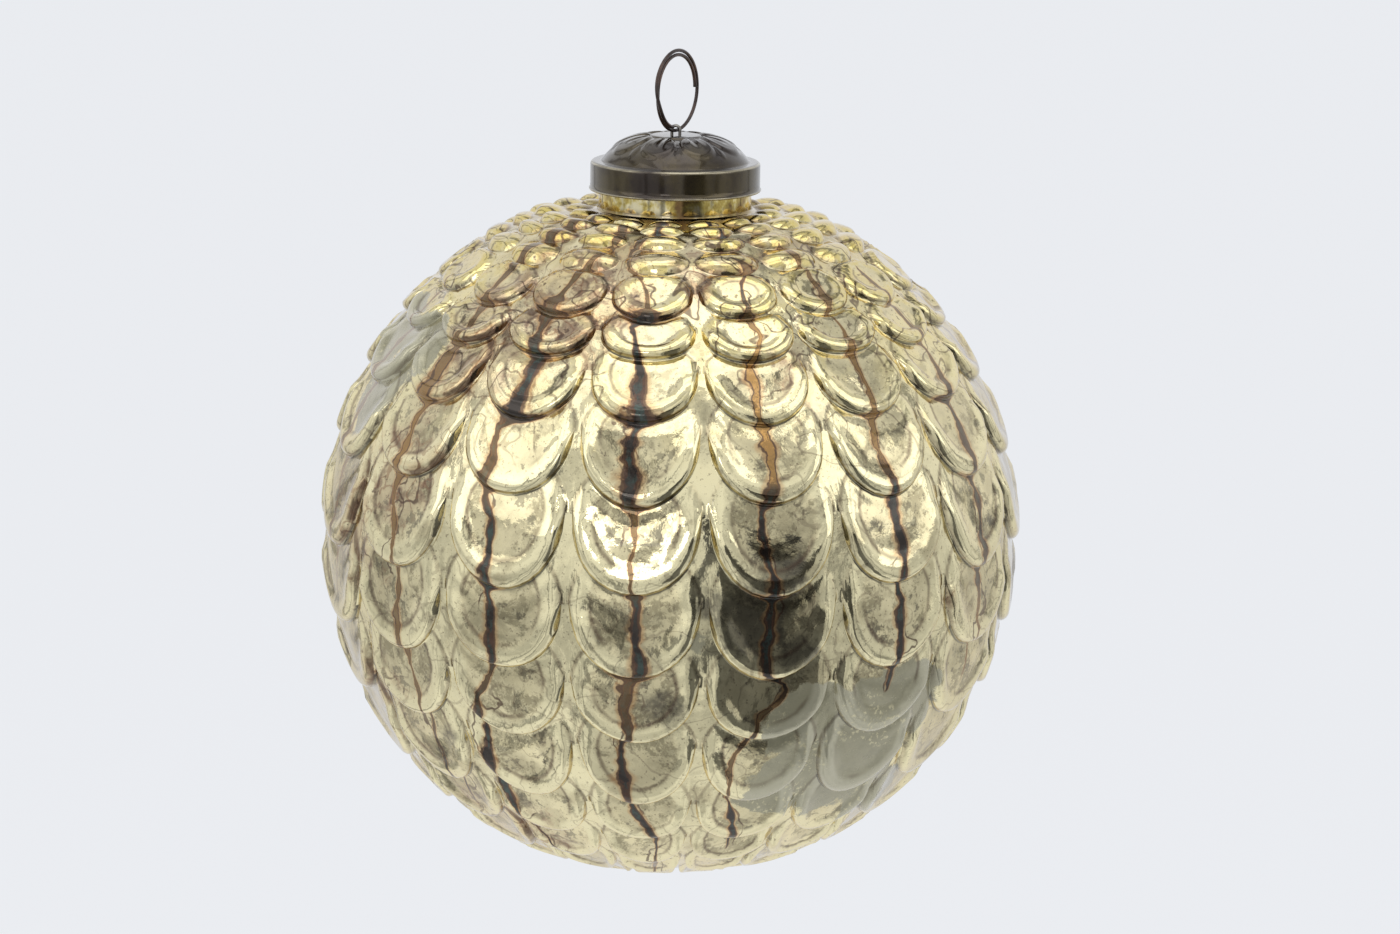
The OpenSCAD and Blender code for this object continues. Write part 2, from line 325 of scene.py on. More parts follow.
def reliefAt(q, u):
    # a roll of round section runs along the outline, and inside it lies the face: a dome near the neck, a
    # dish in the croissants and a slope that rises to the foot lower down. The greater counts, joined softly
    row = np.floor(q)
    w = q - row
    s, g = outlineAt(q, u)
    fat = fatAt(row + 1)
    pillow = ease((4.6 - row) / 2)
    half = rollHalfAt(q, s)
    roll = np.sqrt(np.maximum(0, 1 - ((g - 1 + half) / half) ** 2))
    roll = roll * (1 - (1 - fat) * (1 - ease((s + 0.2) / 0.5))) * (1 - pillow)
    level = (bauble["faceLow"] + (bauble["faceHigh"] - bauble["faceLow"]) * fat) * (1 - pillow) + pillow
    slope = (w ** 0.6) * (1 - 0.22 * (u / bauble["halfWidth"]) ** 2)
    face = level * (slope + (1 - slope) * fat) * (1 - (1 - unit((1 - g) / (0.2 + 0.65 * pillow))) ** 2.2)
    face = face * (1 - 0.35 * pillow * ease((0.6 - s) / 1.5))
    corner = 1 - ease((w - 0.8) / 0.2) * ease((np.abs(u) / halfWidthAt(row + 1) - 0.86) / 0.12)
    joined = np.minimum(1, (roll ** 6 + face ** 6) ** (1 / 6))
    return joined * ease(w / (0.2 - 0.12 * fat)) * corner * (g < 1) * (q < rows)


chance = np.random.RandomState(bauble["chance"])
waveWay = chance.standard_normal((bauble["waves"], 3))
waveWay = waveWay / np.linalg.norm(waveWay, axis=1)[:, None]
waveLength = chance.uniform(0.009, 0.030, bauble["waves"])
wavePhase = chance.uniform(0, 2 * math.pi, bauble["waves"])
footShift = chance.standard_normal((rows + 2, bauble["columns"])) * bauble["footShift"]


def dentAt(spots):
    # the uneven blown surface: plane waves of many directions and lengths, each higher the longer it is
    phase = spots @ (waveWay / waveLength[:, None]).T * 2 * math.pi + wavePhase
    return np.sin(phase) @ (waveLength / waveLength.sum()) * math.sqrt(bauble["waves"]) * bauble["dent"]


def ballPoints(q, u, column, inset):
    # latitude lines bend along the scallops' lower edges, and the radius adds the relief to the plain ball
    bend = unit(q) * unit(rows + 1 - q) ** 2
    upper = np.minimum(np.floor(q).astype(int), rows)
    column = column + 0 * upper
    share = q - upper
    below = np.minimum(upper + 1, rows + 1)
    shift = footShift[upper, column] * (1 - share) + footShift[below, column] * share
    latitude = latitudeAt(q + (edgeAt(q, u) - 1) * bend) + shift * bend * np.cos(math.pi * u) ** 2
    sunk = ease((latitude - bauble["sinkLat"]) / (topLat - bauble["sinkLat"]))
    base = valleyRadius - bauble["neckSink"] * sunk
    width = valleyRadius * np.cos(np.radians(latitude)) * 2 * math.pi / bauble["columns"]
    radius = base + bauble["relief"] * np.minimum(1, width / bauble["fullWidth"]) * reliefAt(q, u)
    turn = bauble["scallopTurn"] + 360 / bauble["columns"] * (column + u)
    way = direction(turn, latitude)
    radius = np.minimum(radius + dentAt(way * valleyRadius) * bend, outermost) - inset
    return way * radius[..., None] + np.array([0, 0, centreHeight])


def neckPoints(profile, turn):
    # plain rings of the neck: radius and height pairs carried round the axis
    a = np.radians(turn)[None, :]
    radius, height = profile[:, :1], profile[:, 1:]
    return np.stack([radius * np.cos(a), radius * np.sin(a), height + centreHeight + 0 * a], -1)


def placesAcross(lines, acrossOne):
    # places across the columns on each line: they spread with the scallops' width, but the valley stays
    u = np.tile(acrossOne, bauble["columns"])[None, :]
    return np.where(u == -0.5, u, u * halfWidthAt(lines)[:, None] / bauble["halfWidth"])


def shellGrid(acrossOne, lines, neck, inset):
    # one grid of rings: the neck's, then one along each line of the ball. Turns and downs place each point
    column = np.repeat(np.arange(bauble["columns"]), len(acrossOne))
    neckLines = np.zeros(len(neck))
    u = placesAcross(lines, acrossOne)
    q = lines[:, None] + 0 * u
    neckTurn = column + placesAcross(neckLines, acrossOne)
    shell = ballPoints(q, u, column[None, :], inset)
    turnOne = bauble["scallopTurn"] + 360 / bauble["columns"] * neckTurn[0]
    points = np.concatenate([neckPoints(neck, turnOne), shell]).reshape(-1, 3)
    turns, downs = np.concatenate([neckTurn, column + u]), np.concatenate([neckLines, lines])
    return points, len(neck) + len(lines), len(column), turns, downs


rimArc = np.radians(np.linspace(0, 90, 6))
neckR, neckFillet = bauble["neckRadius"], bauble["neckFillet"]
wall, rimRound = bauble["wall"], bauble["wall"] / 4
neckOut = np.concatenate([
    [[neckR - rimRound + rimRound * math.sin(a), rimHeight - rimRound + rimRound * math.cos(a)]
     for a in rimArc],
    [[neckR, z] for z in np.linspace(rimHeight - 0.001, creaseHeight + neckFillet + 0.0004, 5)],
    [[creaseRadius - neckFillet * math.cos(a), creaseHeight + neckFillet * (1 - math.sin(a))]
     for a in rimArc[:-1]]])
neckIn = np.array([
    [neckR - wall + rimRound, rimHeight], [neckR - wall, rimHeight - rimRound], [neckR - wall, creaseHeight]])
# Places across a column and down a row, closest together where the roll curves
rollSteps = np.array([0.18, 0.36, 0.52, 0.66, 0.77, 0.84, 0.88, 0.93, 0.975, 1.0])
scallopAcross = bauble["halfWidth"] * np.concatenate([-rollSteps[::-1], [0], rollSteps])
outerAcross = np.concatenate([[-0.5], scallopAcross])
downFat = np.array([0, .03, .08, .15, .25, .38, .5, .59, .635, .67, .73, .8, .87, .92, .96, .985])
downThin = np.array([0, .02, .06, .12, .2, .3, .42, .55, .68, .79, .845, .865, .9, .94, .97, .99])
downLast = downThin[[0, 1, 3, 5, 7, 8, 9, 10, 11, 12, 13, 15]]
outerLines = np.concatenate(
    [row + (downFat if row < 7 else downThin if row < rows - 4 else downLast) for row in range(rows)]
    + [rows + np.array([0, .1, .2, .32, .45, .6, .75, .9])])
innerAcross = np.array([-0.5, -0.25, 0, 0.25])
innerDown = np.array([0.04, 0.6])
innerLines = np.concatenate([(np.arange(rows)[:, None] + innerDown).ravel(), [rows + 0.3]])

outer, outRings, outAround, outTurn, outDown = shellGrid(outerAcross, outerLines, neckOut, 0.0)
inner, inRings, inAround, inTurn, inDown = shellGrid(innerAcross, innerLines, neckIn, bauble["wall"])
firstIn = len(outer) + 1
ballVertices = np.concatenate([
    outer, [[0, 0, centreHeight - valleyRadius]], inner, [[0, 0, centreHeight - valleyRadius + wall]]])
outerFaces = ringGrid(outRings, outAround)
innerFaces = ringGrid(inRings, inAround, firstIn)[:, ::-1]
outerPole = fan((outRings - 1) * outAround, firstIn - 1, outAround, True)
innerPole = fan(firstIn + (inRings - 1) * inAround, len(ballVertices) - 1, inAround, False)
# The rim joins the outer places to the fewer inner ones: each outer edge runs to the nearest inner place
nearest = np.rint(np.linspace(0, inAround, outAround + 1)).astype(int)
rimPlace = np.arange(outAround)
rimOuter = np.stack([rimPlace, (rimPlace + 1) % outAround, firstIn + nearest[:-1] % inAround], -1)
stepAt = np.nonzero(np.diff(nearest))[0]
rimInner = np.stack([
    (stepAt + 1) % outAround, firstIn + nearest[stepAt + 1] % inAround, firstIn + nearest[stepAt]], -1)


def gridPlace(turn, down, rings, around, flip):
    # corners of each quad: turn counts columns round the ball and down counts rows, both kept from 0 to 1
    turn = np.concatenate([turn, turn[:, :1] + bauble["columns"]], 1)
    r, c = np.meshgrid(np.arange(rings - 1), np.arange(around), indexing="ij")
    corner = np.stack([
        np.stack([turn[r, c], down[r]], -1), np.stack([turn[r + 1, c], down[r + 1]], -1),
        np.stack([turn[r + 1, c + 1], down[r + 1]], -1), np.stack([turn[r, c + 1], down[r]], -1)], -2)
    corner = corner.reshape(-1, 4, 2)[:, ::-1] if flip else corner.reshape(-1, 4, 2)
    return (corner + [0.5, 0]) / [bauble["columns"], rows + 1]


def polePlace(turn, around, flip):
    # corners of each triangle round the pole, which takes the turn half way along the triangle's edge
    turn = np.append(turn[-1], turn[-1, 0] + bauble["columns"])
    a, b = turn[:-1], turn[1:]
    first, last = (b, a) if flip else (a, b)
    ends = [(first, outerLines[-1]), ((a + b) / 2, rows + 1.0), (last, outerLines[-1])]
    corner = np.stack([np.stack([across, np.full(around, line)], -1) for across, line in ends], -2)
    return (corner + [0.5, 0]) / [bauble["columns"], rows + 1]


ballPlace = [
    gridPlace(outTurn, outDown, outRings, outAround, False),
    gridPlace(inTurn, inDown, inRings, inAround, True),
    polePlace(outTurn, outAround, False), polePlace(inTurn, inAround, True),
    np.zeros((len(rimOuter), 3, 2)), np.zeros((len(rimInner), 3, 2))]

# Where the lining has gone, is smoked or is stained: azimuth, latitude, reach in degrees, and strength
wear = {
    "bare": [(247, -30, 15, 1), (256, -22, 10, 1), (236, -22, 9, 0.9), (235, -36, 9, 0.85),
             (262, -42, 9, 0.7), (134, 36, 9, 1), (150, 36, 8, 0.9), (141, 26, 8, 0.9), (216, -7, 5, 0.5),
             (200, -8, 6, 0.45), (30, -12, 13, 0.9), (48, 24, 8, 0.7), (330, -40, 10, 0.7), (85, 5, 7, 0.5)],
    "smoke": [(178, -42, 6, 0.6), (166, -28, 5, 0.55), (188, -54, 6, 0.55), (217, -1, 4, 0.85),
              (228, 5, 7, 0.8), (224, -4, 8, 1), (206, -10, 6, 0.7), (211, -19, 6, 0.8), (232, -9, 6, 0.8),
              (20, 10, 9, 0.9), (75, -22, 8, 0.8), (300, -8, 8, 0.8), (340, 22, 7, 0.7)],
    "stain": [(186, 50, 17, 1), (167, 40, 14, 1), (160, 16, 14, 0.9), (147, 5, 13, 0.9),
              (150, -25, 14, 0.7), (170, -50, 14, 0.8), (262, -6, 9, 0.6), (235, 34, 9, 0.6),
              (215, 58, 12, 0.7), (250, 60, 12, 0.6), (60, 30, 20, 0.9), (20, -30, 18, 0.8),
              (320, 40, 18, 0.8), (350, -5, 12, 0.7), (100, -40, 16, 0.8)],
}
towards = ballVertices - np.array([0, 0, centreHeight])
towards = towards / np.linalg.norm(towards, axis=1)[:, None]


def wearAt(spots):
    # the strongest of several soft round spots, each a bell of the angle from its middle
    spots = np.array(spots, float)
    angle = np.degrees(np.arccos(np.clip(towards @ direction(spots[:, 0], spots[:, 1]).T, -1, 1)))
    return (spots[:, 3] * np.exp(-(angle / spots[:, 2]) ** 2)).max(1)


# Place across the roll: 0 where it meets the face, 1 on the scallop's outline, and 2 on what has no scallop
gridU = placesAcross(outerLines, outerAcross)
gridQ = outerLines[:, None] + 0 * gridU
gridS, gridG = outlineAt(gridQ, gridU)
across = (gridG - 1) / (2 * rollHalfAt(gridQ, gridS)) + 1
onGrid = slice(len(neckOut) * outAround, len(outer))
rollMark = np.full(len(ballVertices), 2.0)
rollMark[onGrid] = np.where(gridQ < rows, across, 2.0).ravel()

# Streaks that ran down the columns, each a path of points: row, shift in columns, breadth, and the share
# that dried to amber. The columns that the photograph doesn't show get paths by chance
streakPaths = {
    6: [(4.6, 0, 0, 0.5), (5.2, 0.05, 0.6, 0.5), (7.2, -0.05, 0.7, 0.5), (9.2, 0, 0.4, 0.6),
        (9.8, 0, 0, 0.5)],
    7: [(0.6, 0, 0, 0.2), (1, 0.1, 1.4, 0.1), (2.2, 0.1, 1.7, 0.2), (3.1, 0.05, 1.4, 0.2),
        (4.6, -0.05, 1.3, 0.3), (5.6, 0.06, 1, 0.3), (6.4, 0, 1.2, 0.5), (7.9, -0.08, 1.4, 0.7),
        (8.1, -0.05, 0.6, 0.5), (9.6, 0.04, 0.9, 0.4), (10.4, 0.1, 0.4, 0.4), (12, 0.05, 0.5, 0),
        (12.8, 0, 0, 0)],
    8: [(0.9, 0.1, 0, 0.2), (1.6, 0.2, 1.6, 0.1), (2.6, 0.3, 1.8, 0.2), (3.3, 0.26, 1.4, 0.3),
        (4, 0.05, 1.3, 0.3), (4.8, -0.08, 1.3, 0.2), (5.5, -0.1, 0.9, 0.1), (6.1, -0.03, 1.2, 0),
        (6.8, -0.06, 1.2, 0), (6.97, -0.06, 2.2, 0), (7.2, -0.16, 1.1, 0.2), (7.9, -0.2, 1.1, 0.2),
        (8.3, -0.1, 0.9, 0), (9.9, -0.08, 1, 0), (10.2, -0.16, 0.5, 0.2), (11, -0.3, 0.9, 0),
        (11.6, -0.3, 1, 0), (12.8, -0.34, 1, 0), (13.4, -0.3, 0.5, 0), (14.2, -0.2, 0, 0)],
    9: [(0.3, 0, 0, 0), (0.9, 0, 2.4, 0), (1.1, 0.1, 1.2, 0), (1.9, -0.05, 1, 0), (2.02, 0, 3.4, 0),
        (2.3, -0.2, 1.6, 0.1), (3.3, -0.4, 1.5, 0.2), (3.9, -0.35, 1, 0.3), (4.3, -0.1, 0.25, 0.3),
        (4.8, -0.02, 0.3, 0.3), (4.93, 0, 2.8, 0), (5.07, -0.06, 2.2, 0), (5.2, -0.16, 1.1, 0),
        (6.1, -0.03, 0.9, 0), (6.7, -0.03, 0.9, 0), (6.96, 0, 2.6, 0), (7.1, -0.05, 1.6, 0),
        (7.9, -0.07, 1.6, 0), (8.1, -0.04, 0.35, 0.3), (8.9, -0.03, 0.35, 0.3), (9.1, 0, 0.8, 0),
        (9.9, 0.02, 1.3, 0), (10.1, -0.06, 1, 0.2), (10.9, -0.04, 1, 0.1), (11.1, -0.14, 1.9, 0),
        (11.8, -0.1, 1.6, 0), (12.1, -0.1, 1.2, 0), (12.9, 0.1, 0.9, 0), (13.4, 0.12, 0.3, 0),
        (14.2, 0.1, 0.9, 0.3), (15.5, 0, 0, 0)],
    10: [(0.4, 0, 0, 0), (1, 0.1, 2.6, 0), (1.2, 0.05, 0.6, 0), (2.02, 0.1, 1.9, 0), (2.2, 0, 0, 0),
         (3.4, 0, 0, 0), (3.9, 0.25, 1.2, 0.3), (4.3, 0.06, 0.5, 0), (5, 0.02, 0.6, 0.3),
         (5.5, 0.1, 0.5, 0.9), (6.1, -0.05, 0.9, 1), (6.9, -0.04, 1.1, 1), (7.1, 0, 1.2, 1),
         (7.6, 0.02, 1.1, 0.9), (7.8, 0, 1.1, 0.1), (8.1, -0.06, 1.1, 0), (9, -0.05, 1.1, 0),
         (9.9, -0.03, 0.9, 0), (10.15, 0.14, 0.9, 0), (10.4, 0.06, 0.6, 0.2), (10.6, -0.1, 0.6, 0.3),
         (11, -0.12, 0.8, 0), (11.3, -0.22, 0.5, 0.3), (12, -0.2, 0.5, 0.3), (12.1, -0.16, 1.1, 0),
         (12.8, -0.05, 1, 0), (13.6, 0, 0, 0)],
    11: [(2.8, 0, 0, 0.4), (3.3, 0, 0.8, 0.5), (4.8, 0.05, 0.9, 0.4), (5, 0, 0.3, 0.5),
         (5.5, 0.05, 0.7, 0.6), (7.4, -0.05, 0.8, 0.5), (7.8, 0, 1.1, 0), (10, 0.04, 1, 0), (10.4, 0, 0, 0)],
    12: [(4.1, 0, 0, 0.2), (4.6, 0, 0.7, 0.3), (6.2, 0.06, 0.4, 0.3), (6.9, 0, 1.2, 0.1),
         (9.2, -0.05, 1.1, 0.1), (9.5, 0, 0.4, 0.6), (10.8, 0, 0, 0.5)],
    13: [(4.6, 0, 0, 0.3), (5.3, 0, 0.6, 0.3), (7.8, 0.04, 0.7, 0.3), (8.6, 0, 0, 0.3)],
}
for column in (0, 1, 2, 3, 4, 5, 14, 15):
    count = bauble["streakPoints"]
    streakPaths[column] = np.stack([
        np.sort(chance.uniform(2.2, 14.5, count)), chance.normal(0, 0.07, count),
        chance.uniform(0, 1.5, count), chance.uniform(0, 0.6, count)], -1)
shiftMark, runMark, amberMark = streakMarks = np.zeros((3, *gridU.shape))
gridColumn = np.repeat(np.arange(bauble["columns"]), len(outerAcross))
for column, path in streakPaths.items():
    pathLine, *pathValues = np.array(path, float).T
    for streakMark, values in zip(streakMarks, pathValues):
        streakMark[:, gridColumn == column] = np.interp(outerLines, pathLine, values, 0, 0)[:, None]


def onOuter(values):
    # marks of the ball's outer grid, and 0 on the neck, the inside and the poles
    marks = np.zeros(len(ballVertices))
    marks[onGrid] = values.ravel()
    return marks


goldFinish = {
    "pale": tone(247, 235, 190), "warm": tone(240, 220, 146), "lemon": tone(226, 204, 106),
    "grey": tone(206, 194, 152), "cream": tone(246, 236, 190), "tarnish": tone(122, 112, 82),
    "umber": tone(126, 96, 44), "olive": tone(104, 88, 52), "slate": tone(54, 50, 44),
    "teal": tone(58, 78, 72), "brown": tone(84, 58, 42), "rust": tone(134, 88, 56),
    "orange": tone(200, 152, 96), "amber": tone(206, 158, 84), "bare": tone(170, 166, 138),
    # the soot colour also paints the shadow under each scallop's foot
    "bareRim": tone(214, 210, 184), "smoke": tone(62, 57, 50), "sootAndShadow": tone(38, 32, 28),
    "plum": tone(128, 94, 78), "rose": tone(222, 198, 158), "grazing": tone(242, 230, 206),
    "streakReach": 0.032, "coatRoughness": 0.03,
}


def makeStreaks():
    # Streaks that ran down the columns: a core with a darker heart, a brown edge, an orange halo, and thin
    # side branches. The inputs are the place across and down in columns and rows, how broad the streak is
    # there and how far it has strayed
    group, given, made = newGroup(
        "streaks", {"Vector": None, "Height": 0.0, "Across": 0.0, "Down": 0.0, "Run": 0.0, "Shift": 0.0},
        ["Heart", "Core", "Edge", "Halo", "Branch"])
    spot = given["Vector"]
    column = calc("ROUND", given["Across"])
    fromMiddle = minus(given["Across"], column)
    w = calc("FRACT", given["Down"])
    there = fade(given["Run"], 0.06, 0.18)

    def along(columnStep, heightScale, depth):
        # a vector that gives each column its own slow noise down the ball
        return put(group, "ShaderNodeCombineXYZ", {
            0: times(column, columnStep), 1: times(given["Height"], heightScale), 2: depth}).outputs[0]

    def swing(vector, scale, detail, size):
        return times(minus(noise(vector, scale, detail), 0.5), size)

    sway = plus(given["Shift"], swing(along(5.37, 55.0, 3.1), 1.0, 2.0, 0.16), swing(spot, 130.0, 3.0, 0.11))
    uneven = plus(0.45, times(patches(along(3.3, 130.0, 8.2), 1.0, 0.36, 0.64), 1.1))
    pool = most(fade(w, 0.07, 0.0), fade(w, 0.93, 1.0))
    pool = times(pool, patches(along(2.1, 30.0, 5.5), 1.0, 0.42, 0.58, 1.0))
    thinned = plus(0.6, times(fade(given["Down"], 8.5, 5.5), 0.35))
    reach = times(given["Run"], goldFinish["streakReach"])
    breadth = times(uneven, plus(1.0, times(pool, 2.2)), reach, thinned)
    ratio = calc("DIVIDE", calc("ABSOLUTE", minus(fromMiddle, sway)), plus(breadth, 0.004))
    ratio = plus(ratio, swing(spot, 260.0, 4.0, 1.9))
    send(fade(plus(ratio, swing(spot, 180.0, 2.0, 1.2)), 0.72, 0.5), made["Heart"])
    for name, low, high in (("Core", 1.0, 0.86), ("Edge", 1.55, 1.2), ("Halo", 2.7, 1.4)):
        send(times(fade(ratio, low, high), there), made[name])
    stray = plus(given["Shift"], swing(spot, 75.0, 3.0, 0.75))
    branch = fade(calc("ABSOLUTE", minus(fromMiddle, stray)), 0.018, 0.008)
    send(times(branch, patches(spot, 48.0, 0.47, 0.53, 1.0), there), made["Branch"])
    return group


def makeGoldGlass():
    finish = goldFinish
    material, tree = newMaterial("agedGoldGlass")

    def mark(name):
        return put(tree, "ShaderNodeAttribute", attribute_name=name).outputs["Fac"]

    uvMap = put(tree, "ShaderNodeUVMap", uv_map="place").outputs[0]
    uv = put(tree, "ShaderNodeSeparateXYZ", {0: uvMap}).outputs
    spot = put(tree, "ShaderNodeTexCoord").outputs["Object"]
    height = put(tree, "ShaderNodeSeparateXYZ", {0: spot}).outputs[2]
    across = minus(times(uv[0], float(bauble["columns"])), 0.5)
    down = times(uv[1], rows + 1.0)
    w = calc("FRACT", down)
    onBall = fade(down, 0.02, 0.12)
    upward = fade(height, -0.115, -0.05)
    lower = minus(1.0, upward)
    nearNeck = fade(down, 5.2, 2.5)
    roll = mark("roll")
    onRoll = times(fade(roll, 0.0, 0.3), fade(roll, 1.05, 0.8))
    aged, fine = ageAt(spot, 70.0, 1000.0, 62.0, 0.014), ageAt(spot, 380.0, 400.0, 110.0, 0.022)
    torn = minus(noise(spot, 90.0, 5.0, 0.65), 0.5)
    bare = fade(plus(mark("bare"), times(torn, 0.7)), 0.42, 0.47)
    smoke = fade(plus(mark("smoke"), times(torn, 1.5)), 0.4, 0.8)
    stain = fade(plus(mark("stain"), times(torn, 1.6)), 0.35, 0.85)

    # Gold: pale, warmer near the neck and on the rolls, greyer lower down, rosy and stained in places
    greyed = times(fade(aged["Cloud"], 0.56, 0.4), plus(0.4, times(lower, 0.35)))
    warmed = times(plus(0.12, times(upward, 0.5)), fade(aged["Cloud"], 0.42, 0.62))
    yellowRoll = times(onRoll, upward, fade(fine["Cloud"], 0.35, 0.6))
    yellowOval = times(nearNeck, fade(roll, 1.0, 0.8), fade(fine["Cloud"], 0.3, 0.55))
    yellowed = plus(0.3, times(patches(spot, 38.0, 0.48, 0.58), 0.5))
    between = times(nearNeck, fade(roll, 0.96, 1.12), patches(spot, 70.0, 0.44, 0.52, 4.0, 0.6))
    stainCloud = times(stain, patches(spot, 120.0, 0.48, 0.58, 4.0, 0.6))
    colour = layered(finish["pale"], finish, [
        (greyed, 1.0, "grey"), (warmed, 1.0, "warm"), (yellowRoll, 0.6, "lemon"),
        (yellowOval, yellowed, "lemon"), (between, 0.62, "olive"), (stain, 0.55, "rose"),
        (stainCloud, 0.7, "plum")])

    # The lining tarnishes in crisp patches on the faces, most lower down. Rolls and valleys stay clean, and
    # lower down they carry a painted reflection of the pale floor
    valley = times(fade(roll, 1.04, 1.2), lower)
    cleanAndLit = most(onRoll, times(valley, 0.75))
    offRoll = minus(1.0, times(cleanAndLit, 0.85))
    tarnish = times(patches(spot, 85.0, 0.5, 0.56, 6.0, 0.74, 0.3), offRoll, plus(0.1, times(lower, 0.5)))
    grain = times(patches(spot, 620.0, 0.53, 0.6, 3.0, 0.7), tarnish)
    deep = times(patches(spot, 130.0, 0.58, 0.62, 4.0, 0.75), offRoll, plus(0.15, times(lower, 0.4)))
    glaze = times(fade(roll, 0.15, -0.3), lower, patches(spot, 34.0, 0.36, 0.58))
    # cream on the lower rolls and valleys is a painted reflection, not the lining's colour
    rollReflection = times(cleanAndLit, lower, fade(aged["Cloud"], 0.34, 0.46))
    colour = layered(colour, finish, [
        (tarnish, 1.0, "tarnish"), (grain, 0.7, "cream"), (deep, 1.0, "smoke"), (glaze, 0.28, "tarnish"),
        (rollReflection, 0.85, "cream")])

    # Specks, contour lines of dried puddles, smoke, and the places with no lining
    lined = most(times(patches(spot, 21.0, 0.4, 0.5), plus(0.35, times(upward, 0.65))), stain)
    colour = layered(colour, finish, [
        (times(fine["Speck"], lined), 0.75, "brown"), (aged["Speck"], 0.5, "brown"),
        (times(aged["Line"], lined), 0.85, "brown"), (times(fine["Line"], stain), 0.5, "rust"),
        (smoke, 0.74, "smoke")])
    fleck = times(patches(spot, 700.0, 0.56, 0.62, 3.0, 0.7), patches(spot, 60.0, 0.5, 0.6))
    bareColour = layered(finish["bare"], finish, [(onRoll, 0.6, "bareRim"), (fleck, 0.7, "cream")])
    colour = blend(times(bare, 0.92), colour, bareColour)

    # Lines that follow each scallop's roll, outline and foot. The crease, outline and foot lines are painted
    # shade
    creaseShade = times(fade(calc("ABSOLUTE", roll), 0.16, 0.0), patches(spot, 55.0, 0.42, 0.56))
    fromOutline = calc("ABSOLUTE", minus(roll, 1.0))
    outlineShadeShare = times(plus(0.38, times(fade(down, 8.0, 3.5), 0.4)), patches(spot, 48.0, 0.36, 0.52))
    rimShare = times(patches(spot, 42.0, 0.47, 0.55, 3.0, 0.6), most(stain, times(nearNeck, 0.7)))
    # painted shadow, in the soot colour, under each scallop's foot
    footShadow = times(most(fade(w, 0.03, 0.0), fade(w, 0.98, 1.0)), patches(spot, 40.0, 0.36, 0.5))
    colour = layered(colour, finish, [
        (creaseShade, 0.6, "brown"), (fade(fromOutline, 0.16, 0.03), outlineShadeShare, "brown"),
        (times(fade(fromOutline, 0.75, 0.2), rimShare), 0.4, "orange"),
        (times(fade(fromOutline, 0.3, 0.16), rimShare), 0.8, "brown"),
        (times(footShadow, fade(roll, 1.12, 1.02)), 0.8, "sootAndShadow")])

    # The streaks, amber in places
    streak = useGroup(tree, makeStreaks(), {
        "Vector": spot, "Height": height, "Across": across, "Down": down, "Run": mark("run"),
        "Shift": mark("shift")})
    amber = mark("amber")
    core = layered(finish["slate"], finish, [
        (fade(fine["Cloud"], 0.42, 0.6), 1.0, "teal"), (fade(aged["Cloud"], 0.46, 0.38), 1.0, "brown")])
    core = layered(blend(streak["Heart"], finish["brown"], core), finish, [
        (patches(spot, 190.0, 0.5, 0.6, 3.0, 0.6), 1.0, "sootAndShadow"), (amber, 1.0, "amber")])
    colour = layered(colour, finish, [
        (streak["Branch"], 0.8, "brown"), (streak["Halo"], 0.55, "orange"), (streak["Edge"], 0.9, "brown")])
    colour = blend(times(streak["Core"], minus(0.95, times(amber, 0.3))), colour, core)

    # The neck: bright lemon gold, smeared from top to bottom, with a dark ring at its foot. The palest smears
    # are painted highlights
    smearAndSheenPlace = put(tree, "ShaderNodeCombineXYZ", {0: times(across, 1.1), 1: times(height, 90.0)}).outputs[0]
    smearAndSheen = noise(smearAndSheenPlace, 1.0, 4.0, 0.65)
    neckStain = patches(spot, 150.0, 0.52, 0.6, 4.0, 0.65)
    neckColour = layered(finish["umber"], finish, [
        (fade(smearAndSheen, 0.36, 0.6), 1.0, "lemon"), (fade(smearAndSheen, 0.5, 0.62), 1.0, "pale"),
        (neckStain, 0.35, "brown")])
    neckFoot = times(fade(down, 0.55, 0.1), fade(height, creaseLevel + 0.003, creaseLevel + 0.0006))
    sooty = times(onBall, fade(down, 1.0, 0.25))
    colour = layered(blend(onBall, neckColour, colour), finish, [
        (times(neckFoot, fade(smearAndSheen, 0.35, 0.5)), 0.6, "brown"), (sooty, 0.45, "umber")])

    matte = most(bare, smoke, times(sooty, 2.2), times(stain, 0.6))
    rough = plus(0.04, times(fade(fine["Cloud"], 0.45, 0.7), 0.1), times(lower, 0.012))
    metallic = minus(1.0, times(bare, 0.55))
    # Slow dents, fine ripples, and patches where the lining is crumpled like foil
    crumpled = times(patches(spot, 26.0, 0.56, 0.66), noise(spot, 520.0, 3.0, 0.6))
    wavy = plus(noise(spot, 85.0), times(noise(spot, 300.0, 3.0, 0.6), 0.13), times(crumpled, 0.14))
    dress(tree, {
        "Base Color": colour, "Metallic": calc("SUBTRACT", metallic, times(streak["Core"], 0.25), True),
        "Roughness": calc("ADD", rough, times(matte, 0.14), True), "IOR": 1.5,
        "Specular Tint": finish["grazing"], "Coat Weight": 1.0, "Coat Roughness": finish["coatRoughness"],
        "Coat IOR": 1.4}, 0.4, 0.0016, times(wavy, onBall))
    return material


makePiece("gold_ball", ballVertices, [outerFaces, innerFaces, outerPole, innerPole, rimOuter, rimInner],
          "bauble", "glass_bauble", "gold_glass", makeGoldGlass(), ballPlace,
          {**{name: wearAt(spots) for name, spots in wear.items()}, "roll": rollMark,
           "run": onOuter(runMark), "shift": onOuter(shiftMark), "amber": onOuter(amberMark)})


# Pressed cap

